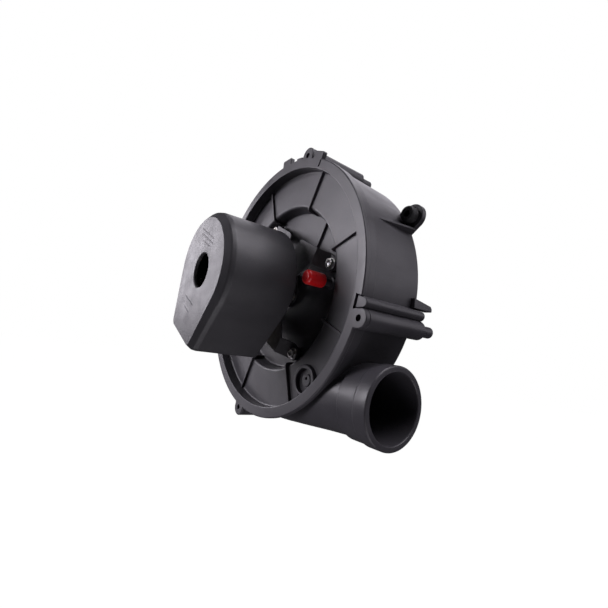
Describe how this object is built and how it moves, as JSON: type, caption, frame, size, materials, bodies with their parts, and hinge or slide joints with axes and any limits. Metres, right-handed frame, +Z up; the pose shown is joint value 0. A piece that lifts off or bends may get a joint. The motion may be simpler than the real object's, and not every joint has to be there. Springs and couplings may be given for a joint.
{
  "type": "combustion fan",
  "caption": "Furnace combustion fan: round scroll housing with a dished cover, capped side motor, blower wheel and a tangential outlet pipe.",
  "frame": {"origin": "on the fan's axis, in the plane of the housing's flat back", "axes": "+Y from the motor through the housing to its back, +X the way the outlet pipe points, +Z up"},
  "size_m": [0.2252, 0.1316, 0.2206],
  "materials": {
    "black_plastic": "moulded black plastic, satin",
    "cap_plastic": "moulded black plastic, satin",
    "wheel_plastic": "moulded black plastic, matt",
    "black_rubber": "matt rubber",
    "gasket_foam": "closed-cell foam",
    "red_vinyl": "soft glossy vinyl",
    "core_steel": "stacked steel laminations",
    "copper": "enamelled copper",
    "bronze": "sintered bronze",
    "nylon": "natural nylon",
    "painted_steel": "black-painted steel",
    "zinc_steel": "zinc-plated steel"
  },
  "bodies": {
    "housing": {"coil_bobbin": "nylon", "coil_winding": "copper", "front_bearing": "bronze", "front_bearing_bracket": "zinc_steel", "front_cover": "black_plastic", "housing_seal": "black_rubber", "inlet_gasket": "gasket_foam", "lug_grommet_1": "black_rubber", "lug_grommet_2": "black_rubber", "lug_grommet_3": "black_rubber", "motor_bolt_1": "zinc_steel", "motor_bolt_2": "zinc_steel", "motor_cap": "cap_plastic", "motor_mount_bracket": "painted_steel", "motor_nut_1": "zinc_steel", "motor_nut_2": "zinc_steel", "mount_screw_1": "zinc_steel", "mount_screw_2": "zinc_steel", "mount_screw_3": "zinc_steel", "mount_screw_4": "zinc_steel", "mount_washer_1": "black_rubber", "mount_washer_2": "black_rubber", "mount_washer_3": "black_rubber", "mount_washer_4": "black_rubber", "rear_bearing": "bronze", "rear_housing": "black_plastic", "shading_band_1": "copper", "shading_band_2": "copper", "shaft_seal": "black_rubber", "spade_terminal_1": "zinc_steel", "spade_terminal_2": "zinc_steel", "stator_laminations": "core_steel"},
    "rotor": {"motor_shaft": "zinc_steel", "rotor_core": "core_steel", "front_thrust_washer": "nylon", "rear_thrust_washer": "nylon", "cooling_fan": "nylon", "blower_wheel": "wheel_plastic", "wheel_clamp": "zinc_steel"},
    "tap_cap": {"pressure_tap_cap": "red_vinyl"}
  },
  "joints": [
    {"name": "rotor_spin", "type": "hinge", "parent": "housing", "child": "rotor", "pos_m": [0, 0, 0], "axis": [0, -1, 0], "continuous": true},
    {"name": "tap_cap_pull", "type": "slide", "parent": "housing", "child": "tap_cap", "axis": [0, -1, 0], "range_m": [0, 0.02]}
  ]
}
